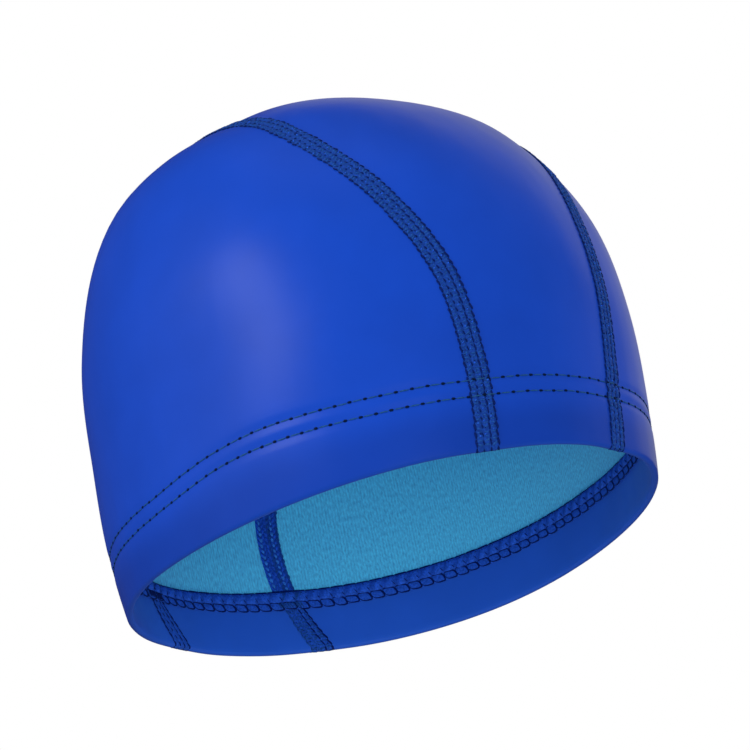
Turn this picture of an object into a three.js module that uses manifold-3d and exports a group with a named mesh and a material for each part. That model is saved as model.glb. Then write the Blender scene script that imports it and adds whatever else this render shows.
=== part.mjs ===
import * as THREE from "three";
import Module from "manifold-3d";

// A swim cap of stretch knit with a glossy coated face, in the stretched form that a head gives it.
// Three panels meet in two flatlock seams that run from the forehead over the crown to the nape.
// The rim is turned in once as a hem, and a band of cover stitching holds the hem's raw edge inside.
// Millimetres. +X points to the forehead, +Y to the wearer's left and +Z up.
// The origin is the centre of the head opening, at the mean height of the rim.

// The dome, measured on the coated face, and how much squarer than an ellipse its opening is.
const FRONT_REACH = 97;
const BACK_REACH = 94;
const SIDE_REACH = 78;
const CROWN_HEIGHT = 151;
const SQUARENESS = 0.1;

// The rim isn't quite level: it rises at the forehead's left and the nape's right, and sinks
// at the other two quarters. Both waves die away up the wall.
const RIM_TWIST = 1.35;
const RIM_SADDLE = 0.5;
const RIM_WAVE_REACH = 70;

// The cloth and its hem.
const WALL = 1.0;
const FOLD_GAP = 0.3;
const LOWER_STITCH_HEIGHT = 16.3;
const STITCH_ROW_SPACING = 4.9;
const EDGE_BELOW_UPPER_ROW = 0.3;
const STITCH_DIP = 0.4;
const STITCH_DIP_REACH = 1.5;

// The flatlock seams.
const SEAM_WIDTH = 6.8;
const SEAM_PROUD = 0.4;
const SEAM_DIP = 1.0;
const SEAM_DIP_REACH = 12;

// The cover stitching over the hem's raw edge.
const COVER_THICKNESS = 1.0;
const COVER_BELOW_LOWER_ROW = 0.7;
const COVER_PAST_EDGE = 1.2;

// The clearance between two pieces.
const PIECE_GAP = 0.3;

// How far the dome reaches from the opening's centre, as a share of a plain ellipsoid's reach,
// for each elevation in degrees.
const FULLNESS = [
  { elevation: 0, front: 1.0, side: 1.0, back: 1.0 },
  { elevation: 15, front: 1.03, side: 1.05, back: 1.03 },
  { elevation: 30, front: 1.105, side: 1.09, back: 1.08 },
  { elevation: 45, front: 1.12, side: 1.185, back: 1.085 },
  { elevation: 60, front: 1.085, side: 1.205, back: 1.085 },
  { elevation: 75, front: 1.03, side: 1.07, back: 1.025 },
  { elevation: 90, front: 1.0, side: 1.0, back: 1.0 },
];

// How far each seam lies from the cap's middle plane, as a share of SIDE_REACH. The angle runs
// in degrees along the seam, from the forehead over the crown to the nape. The cap sits twisted,
// so behind the crown both seams drift to the wearer's right.
const SEAM_SPREAD = [
  { angle: 0, right: 0.31, left: 0.3 },
  { angle: 15, right: 0.3, left: 0.355 },
  { angle: 30, right: 0.355, left: 0.39 },
  { angle: 45, right: 0.465, left: 0.435 },
  { angle: 60, right: 0.57, left: 0.535 },
  { angle: 75, right: 0.61, left: 0.6 },
  { angle: 90, right: 0.62, left: 0.61 },
  { angle: 105, right: 0.62, left: 0.565 },
  { angle: 120, right: 0.61, left: 0.465 },
  { angle: 135, right: 0.6, left: 0.33 },
  { angle: 150, right: 0.58, left: 0.245 },
  { angle: 165, right: 0.52, left: 0.25 },
  { angle: 180, right: 0.36, left: 0.365 },
];

// How far the hem's stitching rides above its usual height, as a share of LOWER_STITCH_HEIGHT,
// for each azimuth in degrees.
const HEM_WAVE = [
  { azimuth: -180, rise: 0 },
  { azimuth: -150, rise: 0 },
  { azimuth: -120, rise: -0.06 },
  { azimuth: -90, rise: -0.03 },
  { azimuth: -60, rise: 0.15 },
  { azimuth: -30, rise: 0.03 },
  { azimuth: 0, rise: 0 },
  { azimuth: 30, rise: 0.01 },
  { azimuth: 60, rise: 0 },
  { azimuth: 90, rise: 0 },
  { azimuth: 120, rise: 0 },
  { azimuth: 150, rise: 0 },
  { azimuth: 180, rise: 0 },
];

// Mesh fineness.
const AROUND = 56;
const DOME_ROWS = 10;
const SEAM_STEPS = 36;
const FOLD_STEPS = 4;
const SOLVER_STEPS = 30;
const SLOPE_STEP = 0.01;

const foldRadius = WALL + FOLD_GAP / 2;
const upperStitchHeight = LOWER_STITCH_HEIGHT + STITCH_ROW_SPACING;
const hemHeight = upperStitchHeight - EDGE_BELOW_UPPER_ROW;
const hemFaceDepth = 2 * WALL + FOLD_GAP;

// A smooth curve through one column of an evenly spaced table. Past the last row it turns back
// like a mirror image where the table ends in a level crest, and runs straight on elsewhere.
function readTable(table, key, column, at, crest) {
  const values = table.map((row) => row[column]);
  const last = values.length - 1;
  const place = (at - table[0][key]) / (table[1][key] - table[0][key]);
  const i = THREE.MathUtils.clamp(Math.floor(place), 0, last - 1);
  const before = i > 0 ? values[i - 1] : 2 * values[0] - values[1];
  const afterEnd = crest ? values[last - 1] : 2 * values[last] - values[last - 1];
  const after = i + 2 <= last ? values[i + 2] : afterEnd;
  const t = place - i;
  const [a, b] = [values[i], values[i + 1]];
  return (
    a +
    0.5 * t * (b - before + t * (2 * before - 5 * a + 4 * b - after + t * (3 * (a - b) + after - before)))
  );
}

function seamSpread(angle, side) {
  const column = side > 0 ? "left" : "right";
  return SIDE_REACH * readTable(SEAM_SPREAD, "angle", column, THREE.MathUtils.radToDeg(angle), false);
}

// The distance from the opening's centre to the coated face along a direction.
function domeReach(direction) {
  const elevation = Math.asin(THREE.MathUtils.clamp(direction.z, -1, 1));
  const azimuth = Math.atan2(direction.y, direction.x);
  const reachOf = (column, halfLength) => {
    const plain = 1 / Math.hypot(Math.cos(elevation) / halfLength, Math.sin(elevation) / CROWN_HEIGHT);
    return plain * readTable(FULLNESS, "elevation", column, THREE.MathUtils.radToDeg(elevation), true);
  };
  const lengthwise = direction.x > 0 ? reachOf("front", FRONT_REACH) : reachOf("back", BACK_REACH);
  const sideways = reachOf("side", SIDE_REACH);
  const power = 2 + SQUARENESS * Math.cos(elevation);
  const reach =
    (Math.abs(Math.cos(azimuth) / lengthwise) ** power + Math.abs(Math.sin(azimuth) / sideways) ** power) **
    (-1 / power);
  const seamAngle = Math.atan2(Math.max(direction.z, 0), direction.x);
  const fromSeam = Math.abs(direction.y) * reach - seamSpread(seamAngle, Math.sign(direction.y));
  return reach - SEAM_DIP * Math.exp(-((fromSeam / SEAM_DIP_REACH) ** 2));
}

function domePoint(azimuth, elevation) {
  const flat = Math.cos(elevation);
  const direction = new THREE.Vector3(
    flat * Math.cos(azimuth),
    flat * Math.sin(azimuth),
    Math.sin(elevation),
  );
  return direction.multiplyScalar(domeReach(direction));
}

// The elevation at which the coated face stands at a height above the rim.
function elevationAt(azimuth, height) {
  let elevation = 0;
  for (let step = 0; step < SOLVER_STEPS; step++) {
    const point = domePoint(azimuth, elevation);
    elevation = Math.atan2(height, Math.hypot(point.x, point.y));
  }
  return elevation;
}

// The face's outward direction at a point, by small differences.
function domeNormal(point) {
  const excess = (p) => p.length() - domeReach(p.clone().normalize());
  const slope = (x, y, z) => {
    const step = new THREE.Vector3(x, y, z).multiplyScalar(SLOPE_STEP);
    return excess(point.clone().add(step)) - excess(point.clone().sub(step));
  };
  return new THREE.Vector3(slope(1, 0, 0), slope(0, 1, 0), slope(0, 0, 1)).normalize();
}

// A point of the seam on one side, found along the ray at this angle round the ear-to-ear axis.
function seamPoint(angle, side) {
  const spread = seamSpread(angle, side);
  let arm = CROWN_HEIGHT;
  for (let step = 0; step < SOLVER_STEPS; step++) {
    const direction = new THREE.Vector3(arm * Math.cos(angle), side * spread, arm * Math.sin(angle));
    arm = Math.sqrt(Math.max(domeReach(direction.normalize()) ** 2 - spread ** 2, 1));
  }
  return new THREE.Vector3(arm * Math.cos(angle), side * spread, arm * Math.sin(angle));
}

// The height that a line of the hem really has at an azimuth, with the stitching's wave.
function sewnHeight(azimuth, height) {
  const turned = THREE.MathUtils.euclideanModulo(THREE.MathUtils.radToDeg(azimuth) + 180, 360) - 180;
  const rise = readTable(HEM_WAVE, "azimuth", "rise", turned, false);
  return height + rise * Math.min(height, LOWER_STITCH_HEIGHT);
}

// The cloth's wall near the rim: a point on a line of the hem, a depth inside the coated face,
// with the outward direction kept level so that the rim keeps its height.
function wallPoint(azimuth, height, depth) {
  const sewn = sewnHeight(azimuth, height);
  const point = domePoint(azimuth, elevationAt(azimuth, sewn));
  const outward = domeNormal(point).setZ(0).normalize();
  return point.setZ(sewn).addScaledVector(outward, -depth);
}

function ring(pointAt) {
  return Array.from({ length: AROUND }, (_, i) => pointAt((i / AROUND) * 2 * Math.PI));
}

// How far the two stitch rows pull the coated face in at a height.
function stitchDip(height) {
  const dip = (row) => Math.exp(-(((height - row) / STITCH_DIP_REACH) ** 2));
  return STITCH_DIP * (dip(LOWER_STITCH_HEIGHT) + dip(upperStitchHeight));
}

// The whole cap as one turned-in shell. Raised makes its visible faces stand proud by that much.
function capShell(raised) {
  const hemTop = upperStitchHeight + 2 * STITCH_DIP_REACH;
  const faceHeightsDown = [
    upperStitchHeight + STITCH_DIP_REACH,
    upperStitchHeight,
    (LOWER_STITCH_HEIGHT + upperStitchHeight) / 2,
    LOWER_STITCH_HEIGHT,
    LOWER_STITCH_HEIGHT - STITCH_DIP_REACH,
    LOWER_STITCH_HEIGHT / 2,
  ];
  const domeRing = (row, depth) =>
    ring((azimuth) => {
      const start = elevationAt(azimuth, sewnHeight(azimuth, hemTop));
      const point = domePoint(azimuth, start + ((Math.PI / 2 - start) * row) / DOME_ROWS);
      return point.addScaledVector(domeNormal(point), -depth);
    });
  const wallRing = (height, depth) => ring((azimuth) => wallPoint(azimuth, height, depth));
  const foldRing = (turn, radius) =>
    ring((azimuth) => {
      const middle = wallPoint(azimuth, foldRadius, foldRadius);
      const outer = wallPoint(azimuth, foldRadius, 0);
      const outward = outer.sub(middle).normalize();
      return middle
        .addScaledVector(outward, radius * Math.cos(turn))
        .setZ(foldRadius - radius * Math.sin(turn));
    });
  const crown = (depth) => new THREE.Vector3(0, 0, domeReach(new THREE.Vector3(0, 0, 1)) - depth);

  const rings = [];
  for (let row = DOME_ROWS - 1; row >= 0; row--) rings.push(domeRing(row, -raised));
  for (const height of faceHeightsDown) rings.push(wallRing(height, stitchDip(height) - raised));
  for (let step = 0; step <= FOLD_STEPS; step++)
    rings.push(foldRing((Math.PI * step) / FOLD_STEPS, foldRadius + raised));
  rings.push(wallRing(LOWER_STITCH_HEIGHT / 2, hemFaceDepth + raised));
  rings.push(wallRing(LOWER_STITCH_HEIGHT, hemFaceDepth + raised));
  rings.push(wallRing(hemHeight, hemFaceDepth + raised));
  rings.push(wallRing(hemHeight, WALL + FOLD_GAP));
  rings.push(wallRing(LOWER_STITCH_HEIGHT / 2, WALL + FOLD_GAP));
  rings.push(foldRing(Math.PI, FOLD_GAP / 2));
  rings.push(foldRing(Math.PI / 2, FOLD_GAP / 2));
  rings.push(foldRing(0, FOLD_GAP / 2));
  rings.push(wallRing(LOWER_STITCH_HEIGHT / 2, WALL));
  rings.push(wallRing(hemHeight, WALL));
  for (let row = 0; row < DOME_ROWS; row++) rings.push(domeRing(row, WALL + raised));
  return loft(rings, [crown(-raised), crown(WALL + raised)]);
}

// A corridor that follows a seam through the cloth, widened on both sides.
function seamCorridor(side, widened) {
  const half = SEAM_WIDTH / 2 + widened;
  const reachOut = 2 * (SEAM_PROUD + PIECE_GAP);
  const reachIn = 2 * (hemFaceDepth + SEAM_PROUD);
  const belowRim = 3 * foldRadius;
  const station = (angle, drop) => {
    const point = seamPoint(angle, side);
    const outward = domeNormal(point);
    const ahead = seamPoint(angle + SLOPE_STEP, side);
    const along = ahead.sub(seamPoint(angle - SLOPE_STEP, side)).normalize();
    const across = new THREE.Vector3().crossVectors(along, outward).normalize();
    point.z -= drop;
    return [
      [-half, -reachIn],
      [half, -reachIn],
      [half, reachOut],
      [-half, reachOut],
    ].map(([sideways, out]) =>
      point.clone().addScaledVector(across, sideways).addScaledVector(outward, out),
    );
  };
  const stations = [station(0, belowRim)];
  for (let step = 0; step <= SEAM_STEPS; step++) stations.push(station((Math.PI * step) / SEAM_STEPS, 0));
  stations.push(station(Math.PI, belowRim));
  const middle = (row) => row.reduce((sum, p) => sum.add(p), new THREE.Vector3()).divideScalar(row.length);
  return loft(stations, [middle(stations[0]), middle(stations.at(-1))]);
}

// The band of cover stitching inside the rim, which laps over the hem's raw edge onto the lining side.
function coverBand() {
  const bottom = LOWER_STITCH_HEIGHT - COVER_BELOW_LOWER_ROW;
  const edge = hemHeight + PIECE_GAP;
  const top = edge + COVER_PAST_EDGE;
  const onHem = hemFaceDepth + PIECE_GAP;
  const onWall = WALL + PIECE_GAP;
  const face = onHem + COVER_THICKNESS;
  const section = [
    [bottom, face],
    [top, face],
    [top, onWall],
    [edge, onWall],
    [edge, onHem],
    [bottom, onHem],
  ];
  return loft(section.map(([height, depth]) => ring((azimuth) => wallPoint(azimuth, height, depth))));
}

// The rim's waves, as a lift that every point near the rim shares.
function liftWithRim(point) {
  const azimuth = Math.atan2(point.y, point.x);
  const wave = RIM_TWIST * Math.sin(2 * azimuth) + RIM_SADDLE * Math.cos(2 * azimuth);
  return point.setZ(point.z + wave * (1 - THREE.MathUtils.smoothstep(point.z, 0, RIM_WAVE_REACH)));
}

// A closed surface through loops of equal length, ended at two points, or else joined last to first.
function loft(loops, ends) {
  const count = loops[0].length;
  const points = loops.flat();
  const index = [];
  const rows = ends ? loops.length - 1 : loops.length;
  for (let row = 0; row < rows; row++) {
    const next = (row + 1) % loops.length;
    for (let i = 0; i < count; i++) {
      const j = (i + 1) % count;
      const [a, b] = [row * count + i, row * count + j];
      const [c, d] = [next * count + i, next * count + j];
      index.push(a, c, b, b, c, d);
    }
  }
  if (ends) {
    const last = (loops.length - 1) * count;
    points.push(...ends);
    for (let i = 0; i < count; i++) {
      const j = (i + 1) % count;
      index.push(points.length - 2, i, j);
      index.push(points.length - 1, last + j, last + i);
    }
  }
  return new THREE.BufferGeometry().setFromPoints(points.map(liftWithRim)).setIndex(index);
}

const wasm = await Module();
wasm.setup();

function solidOf(geometry) {
  return new wasm.Manifold(
    new wasm.Mesh({
      numProp: 3,
      vertProperties: geometry.getAttribute("position").array,
      triVerts: Uint32Array.from(geometry.index.array),
    }),
  );
}

function geometryOf(solid) {
  const mesh = solid.getMesh();
  const geometry = new THREE.BufferGeometry();
  geometry.setAttribute("position", new THREE.BufferAttribute(mesh.vertProperties, 3));
  geometry.setIndex(new THREE.BufferAttribute(mesh.triVerts, 1));
  geometry.computeVertexNormals();
  return geometry;
}

const coatedFace = { color: 0x1748c4, roughness: 0.38, metalness: 0 };
const seamThread = { color: 0x12348c, roughness: 0.75, metalness: 0 };
const coverThread = { color: 0x16369c, roughness: 0.75, metalness: 0 };

const cap = new THREE.Group();

function addPiece(name, solid, finish) {
  const mesh = new THREE.Mesh(geometryOf(solid), new THREE.MeshStandardMaterial(finish));
  mesh.name = name;
  cap.add(mesh);
}

const LEFT = 1;
const RIGHT = -1;
const corridor = (side, widened) => solidOf(seamCorridor(side, widened));

const panels = solidOf(capShell(0))
  .subtract(corridor(LEFT, PIECE_GAP))
  .subtract(corridor(RIGHT, PIECE_GAP))
  .decompose()
  .map((solid) => {
    const box = solid.boundingBox();
    return { solid, middle: (box.min[1] + box.max[1]) / 2 };
  })
  .sort((a, b) => a.middle - b.middle);
["panel_right", "panel_centre", "panel_left"].forEach((name, i) =>
  addPiece(name, panels[i].solid, coatedFace),
);

const raisedShell = solidOf(capShell(SEAM_PROUD));
addPiece("seam_right", raisedShell.intersect(corridor(RIGHT, 0)), seamThread);
addPiece("seam_left", raisedShell.intersect(corridor(LEFT, 0)), seamThread);

const clearShell = solidOf(capShell(SEAM_PROUD + PIECE_GAP));
addPiece(
  "hem_cover_stitch",
  solidOf(coverBand())
    .subtract(clearShell.intersect(corridor(RIGHT, PIECE_GAP)))
    .subtract(clearShell.intersect(corridor(LEFT, PIECE_GAP))),
  coverThread,
);

export default cap;
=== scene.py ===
"""A swim cap of coated stretch knit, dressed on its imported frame.

Three panels of cloth meet in two flatlock seams over the crown. The rim is turned in once as a hem,
which shows two rows of stitching outside and a band of cover stitching inside.
Metres. +X points to the forehead, +Y to the wearer's left and +Z up.
"""

import math
from functools import partial

import bmesh
import bpy
import numpy as np
from mathutils import Matrix, Vector


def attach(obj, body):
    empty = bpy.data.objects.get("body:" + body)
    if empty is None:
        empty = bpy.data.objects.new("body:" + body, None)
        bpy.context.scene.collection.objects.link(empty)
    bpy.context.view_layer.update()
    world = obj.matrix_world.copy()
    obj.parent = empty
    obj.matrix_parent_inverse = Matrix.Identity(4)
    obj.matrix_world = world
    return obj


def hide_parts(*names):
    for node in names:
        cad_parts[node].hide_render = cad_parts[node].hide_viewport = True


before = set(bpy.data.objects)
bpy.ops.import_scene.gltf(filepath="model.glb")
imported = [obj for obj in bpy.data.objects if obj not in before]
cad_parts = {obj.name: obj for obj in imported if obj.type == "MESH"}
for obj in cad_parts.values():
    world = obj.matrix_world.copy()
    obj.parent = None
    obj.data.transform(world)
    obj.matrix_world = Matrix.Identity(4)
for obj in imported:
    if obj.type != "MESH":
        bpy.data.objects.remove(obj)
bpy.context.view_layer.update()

bl_info = {
    "name": "Swim Cap",
    "version": (1, 0, 0),
    "blender": (4, 5, 0),
    "location": "View3D > Sidebar > Swim Cap",
    "description": "Makes a stretch swim cap with flatlock seams and a cover stitched hem",
    "category": "Object",
}

LEFT = 1
RIGHT = -1

# How far the dome reaches, as a share of a plain ellipsoid's reach, every 15 degrees of elevation.
FULLNESS = {
    "front": (1.0, 1.03, 1.105, 1.12, 1.085, 1.03, 1.0),
    "side": (1.0, 1.05, 1.09, 1.185, 1.205, 1.07, 1.0),
    "back": (1.0, 1.03, 1.08, 1.085, 1.085, 1.025, 1.0),
}
FULLNESS_STEP = 15

# How far each seam lies from the middle plane, as a share of the side reach, every 15 degrees
# from the forehead over the crown to the nape.
SEAM_SPREAD = {
    RIGHT: (0.31, 0.3, 0.355, 0.465, 0.57, 0.61, 0.62, 0.62, 0.61, 0.6, 0.58, 0.52, 0.36),
    LEFT: (0.3, 0.355, 0.39, 0.435, 0.535, 0.6, 0.61, 0.565, 0.465, 0.33, 0.245, 0.25, 0.365),
}
SEAM_SPREAD_STEP = 15

# How far the hem's stitching rides above its usual height, every 30 degrees of azimuth from the nape.
HEM_WAVE = (0, 0, -0.06, -0.03, 0.15, 0.03, 0, 0.01, 0, 0, 0, 0, 0)
HEM_WAVE_STEP = 30

SQUARENESS = 0.1
RIM_TWIST = 0.00135
RIM_SADDLE = 0.0005
RIM_WAVE_REACH = 0.07
EDGE_BELOW_UPPER_ROW = 0.0003
SEAM_DIP = 0.001
SEAM_DIP_REACH = 0.012
FOLD_PRESS = 0.7
FOLD_PRESS_REACH = 0.0035
SOLVER_STEPS = 24
SLOPE_STEP = 0.00001
SEAM_SAMPLES = 1801
RIM_SAMPLES = 1441

# A seam's sideways direction is level up to the first height and follows the dome from the second on.
LEVEL_UP_TO = 0.003
UPRIGHT_FROM = 0.022
SEAM_PROBE = 0.001

# Points nearer to each other than this are one point.
SAME_PLACE = 0.000002

# The stitches of the hem ride over a seam: how far, and half the width of that on each side of the cloth.
OVER_SEAM_RISE = 0.0004
OVER_SEAM_OUTSIDE = 0.0034
OVER_SEAM_INSIDE = 0.004

# The dome's run of the cloth, as a length that only says how far up a row of the mesh lies.
DOME_RUN = 0.15


def stack(x, y, z):
    return np.stack(np.broadcast_arrays(x, y, z), axis=-1).astype(float)


def run_along(points):
    """How far each point lies along the line that they form."""
    return np.concatenate(([0], np.cumsum(np.linalg.norm(np.diff(points, axis=0), axis=1))))


def unit(vectors):
    return vectors / np.linalg.norm(vectors, axis=-1, keepdims=True)


def ease(value, start, end):
    share = np.clip((value - start) / (end - start), 0, 1)
    return share * share * (3 - 2 * share)


def read_table(values, place, crest=False):
    """A smooth curve through evenly spaced values, which turns back at a crest or else runs straight on."""
    values = np.asarray(values, float)
    last = len(values) - 1
    start = 2 * values[0] - values[1]
    end = values[last - 1] if crest else 2 * values[last] - values[last - 1]
    row = np.concatenate(([start], values, [end]))
    i = np.clip(np.floor(place).astype(int), 0, last - 1)
    t = place - i
    before, a, b, after = (row[i + k] for k in range(4))
    bend = t * (3 * (a - b) + after - before)
    return a + 0.5 * t * (b - before + t * (2 * before - 5 * a + 4 * b - after + bend))


class CapForm:
    """The cap's surface, as the frame's source gives it."""

    def __init__(self, sizes):
        self.front = sizes.front_reach
        self.back = sizes.back_reach
        self.side = sizes.side_reach
        self.crown = sizes.crown_height
        self.wall = sizes.cloth_thickness
        self.lower_row = sizes.lower_row_height
        self.upper_row = sizes.lower_row_height + sizes.row_spacing
        self.row_dip = sizes.row_dip
        self.row_dip_reach = sizes.row_dip_reach
        self.hem_top = self.upper_row - EDGE_BELOW_UPPER_ROW
        self.fold_radius = self.wall + sizes.fold_gap / 2
        self.hem_depth = 2 * self.wall + sizes.fold_gap
        self.dome_start = self.upper_row + 2 * self.row_dip_reach
        self.fold_run = math.pi * self.fold_radius
        self.hem_run = self.hem_top - self.fold_radius
        self.turned = self.fold_run + self.hem_run
        self.fold_end = self.fold_radius - self.fold_run
        self.cloth_end = self.fold_end - self.hem_run
        self.seam_width = sizes.seam_width
        self.tracks = {side: self.seam_track(side) for side in (LEFT, RIGHT)}

    def seam_spread(self, angle, side):
        return self.side * read_table(SEAM_SPREAD[side], np.degrees(angle) / SEAM_SPREAD_STEP)

    def reach(self, toward):
        """The distance from the opening's centre to the coated face along a direction."""
        x, y, z = np.moveaxis(toward, -1, 0)
        elevation = np.arcsin(np.clip(z, -1, 1))
        azimuth = np.arctan2(y, x)

        def reach_of(column, half):
            plain = 1 / np.hypot(np.cos(elevation) / half, np.sin(elevation) / self.crown)
            place = np.degrees(elevation) / FULLNESS_STEP
            return plain * read_table(FULLNESS[column], place, crest=True)

        lengthwise = np.where(x > 0, reach_of("front", self.front), reach_of("back", self.back))
        sideways = reach_of("side", self.side)
        power = 2 + SQUARENESS * np.cos(elevation)
        ahead = np.abs(np.cos(azimuth) / lengthwise) ** power
        aside = np.abs(np.sin(azimuth) / sideways) ** power
        reach = (ahead + aside) ** (-1 / power)
        angle = np.arctan2(np.maximum(z, 0), x)
        dip = 0
        for side in (LEFT, RIGHT):
            from_seam = side * y * reach - self.seam_spread(angle, side)
            dip = dip + np.exp(-((from_seam / SEAM_DIP_REACH) ** 2))
        return reach - SEAM_DIP * dip

    def dome_point(self, azimuth, elevation):
        flat = np.cos(elevation)
        toward = stack(flat * np.cos(azimuth), flat * np.sin(azimuth), np.sin(elevation))
        return toward * self.reach(toward)[..., None]

    def elevation_at(self, azimuth, height):
        elevation = np.zeros(np.broadcast(azimuth, height).shape)
        for _ in range(SOLVER_STEPS):
            point = self.dome_point(azimuth, elevation)
            elevation = np.arctan2(height, np.hypot(point[..., 0], point[..., 1]))
        return elevation

    def normal(self, points):
        """The coated face's outward direction, by small differences."""

        def excess(p):
            return np.linalg.norm(p, axis=-1) - self.reach(unit(p))

        slopes = []
        for axis in range(3):
            step = np.zeros(3)
            step[axis] = SLOPE_STEP
            slopes.append(excess(points + step) - excess(points - step))
        return unit(np.stack(slopes, axis=-1))

    def wave(self, azimuth):
        turned = np.mod(np.degrees(azimuth) + 180, 360)
        return read_table(HEM_WAVE, turned / HEM_WAVE_STEP)

    def sewn_height(self, azimuth, height):
        """The height that a line of the hem really has, with the stitching's wave."""
        return height + self.wave(azimuth) * np.minimum(height, self.lower_row)

    def pattern_height(self, azimuth, height):
        """The reverse of sewn_height: the line of the hem that passes a real height."""
        rise = self.wave(azimuth)
        above = height - rise * self.lower_row
        return np.where(above > self.lower_row, above, height / (1 + rise))

    def pull(self, height):
        """How far the two stitch rows pull the coated face in at a height."""
        lower = np.exp(-(((height - self.lower_row) / self.row_dip_reach) ** 2))
        upper = np.exp(-(((height - self.upper_row) / self.row_dip_reach) ** 2))
        return self.row_dip * (lower + upper)

    def wall_point(self, azimuth, height, depth):
        """A point on a line of the hem, a depth inside the coated face."""
        sewn = self.sewn_height(azimuth, height)
        point = self.dome_point(azimuth, self.elevation_at(azimuth, sewn))
        outward = self.normal(point)
        outward[..., 2] = 0
        point[..., 2] = sewn
        return point - unit(outward) * np.asarray(depth)[..., None]

    def line_height(self, along):
        """The hem line that a place on the cloth lies on, seen through both of its layers."""
        turned_in = self.fold_end - along
        return np.where(along > self.fold_radius, along, self.fold_radius + np.maximum(turned_in, 0))

    def face_place(self, azimuth, along):
        """The point of the coated face that lies straight outside a place on the cloth."""
        azimuth, along = np.broadcast_arrays(azimuth, along)
        point = np.empty(azimuth.shape + (3,))
        on_dome = along > self.dome_start
        start = self.elevation_at(
            azimuth[on_dome], self.sewn_height(azimuth[on_dome], self.dome_start)
        )
        share = (along[on_dome] - self.dome_start) / DOME_RUN
        point[on_dome] = self.dome_point(azimuth[on_dome], start + (math.pi / 2 - start) * share)
        rest = ~on_dome
        point[rest] = self.wall_point(azimuth[rest], self.line_height(along[rest]), np.zeros(rest.sum()))
        return point

    def cloth_place(self, azimuth, along, proud):
        """A point of the cloth. Along runs from the hem's edge round the fold and up to the crown."""
        azimuth, along, proud = np.broadcast_arrays(azimuth, along, proud)
        point = np.empty(azimuth.shape + (3,))
        dome = along > self.dome_start
        if dome.any():
            point[dome] = self.face_place(azimuth[dome], along[dome])
            point[dome] += self.normal(point[dome]) * proud[dome][:, None]
        face = (along > self.fold_radius) & ~dome
        if face.any():
            depth = self.pull(along[face]) - proud[face]
            point[face] = self.wall_point(azimuth[face], along[face], depth)
        fold = (along <= self.fold_radius) & (along > self.fold_end)
        if fold.any():
            turn = (self.fold_radius - along[fold]) / self.fold_radius
            level = np.full(turn.shape, self.fold_radius)
            middle = self.wall_point(azimuth[fold], level, level)
            outer = self.wall_point(azimuth[fold], level, 0 * level)
            radius = self.fold_radius + proud[fold]
            point[fold] = middle + unit(outer - middle) * (radius * np.cos(turn))[:, None]
            point[fold, 2] = self.fold_radius - radius * np.sin(turn)
        hem = along <= self.fold_end
        if hem.any():
            depth = self.hem_depth + proud[hem]
            point[hem] = self.wall_point(azimuth[hem], self.line_height(along[hem]), depth)
        return point

    def lift(self, points):
        """The rim's waves, which every point near the rim shares."""
        azimuth = np.arctan2(points[..., 1], points[..., 0])
        wave = RIM_TWIST * np.sin(2 * azimuth) + RIM_SADDLE * np.cos(2 * azimuth)
        points[..., 2] += wave * (1 - ease(points[..., 2], 0, RIM_WAVE_REACH))
        return points

    def seam_track(self, side):
        """A seam's middle line on the coated face, from the forehead's fold to the nape's."""
        angle = np.linspace(0, math.pi, SEAM_SAMPLES)
        spread = self.seam_spread(angle, side)
        arm = np.full(angle.shape, self.crown)
        for _ in range(SOLVER_STEPS):
            toward = unit(stack(arm * np.cos(angle), side * spread, arm * np.sin(angle)))
            arm = np.sqrt(np.maximum(self.reach(toward) ** 2 - spread**2, 1e-6))
        point = stack(arm * np.cos(angle), side * spread, arm * np.sin(angle))
        above = point[:, 2] >= self.fold_radius
        point, angle = point[above], angle[above]
        way = run_along(point)
        outward = self.normal(point)
        forward = unit(np.gradient(point, axis=0))
        across = unit(np.cross(forward, outward))
        level = outward.copy()
        level[:, 2] = 0
        sideways = unit(np.cross((0, 0, 1), unit(level)))
        lean = np.sum(sideways * across, axis=1)
        sideways = sideways / np.where(np.abs(lean) < 0.2, 1, lean)[:, None]
        upright = ease(point[:, 2], LEVEL_UP_TO, UPRIGHT_FROM)[:, None]
        across = sideways * (1 - upright) + across * upright
        beside = point + across * SEAM_PROBE
        probe = np.arctan2(np.maximum(beside[:, 2], 0), beside[:, 0])
        slope = (beside[:, 1] - side * self.seam_spread(probe, side)) / SEAM_PROBE
        return {"way": way, "angle": angle, "point": point, "across": across, "slope": slope}

    def seam_length(self, side):
        return self.tracks[side]["way"][-1] + 2 * self.turned

    def beside_seam(self, points, side):
        """How far points of the coated face lie from a seam's middle line, outwards from the middle panel."""
        angle = np.arctan2(np.maximum(points[..., 2], 0), points[..., 0])
        track = self.tracks[side]
        slope = np.interp(angle, track["angle"], np.abs(track["slope"]))
        return (side * points[..., 1] - self.seam_spread(angle, side)) / slope

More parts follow.
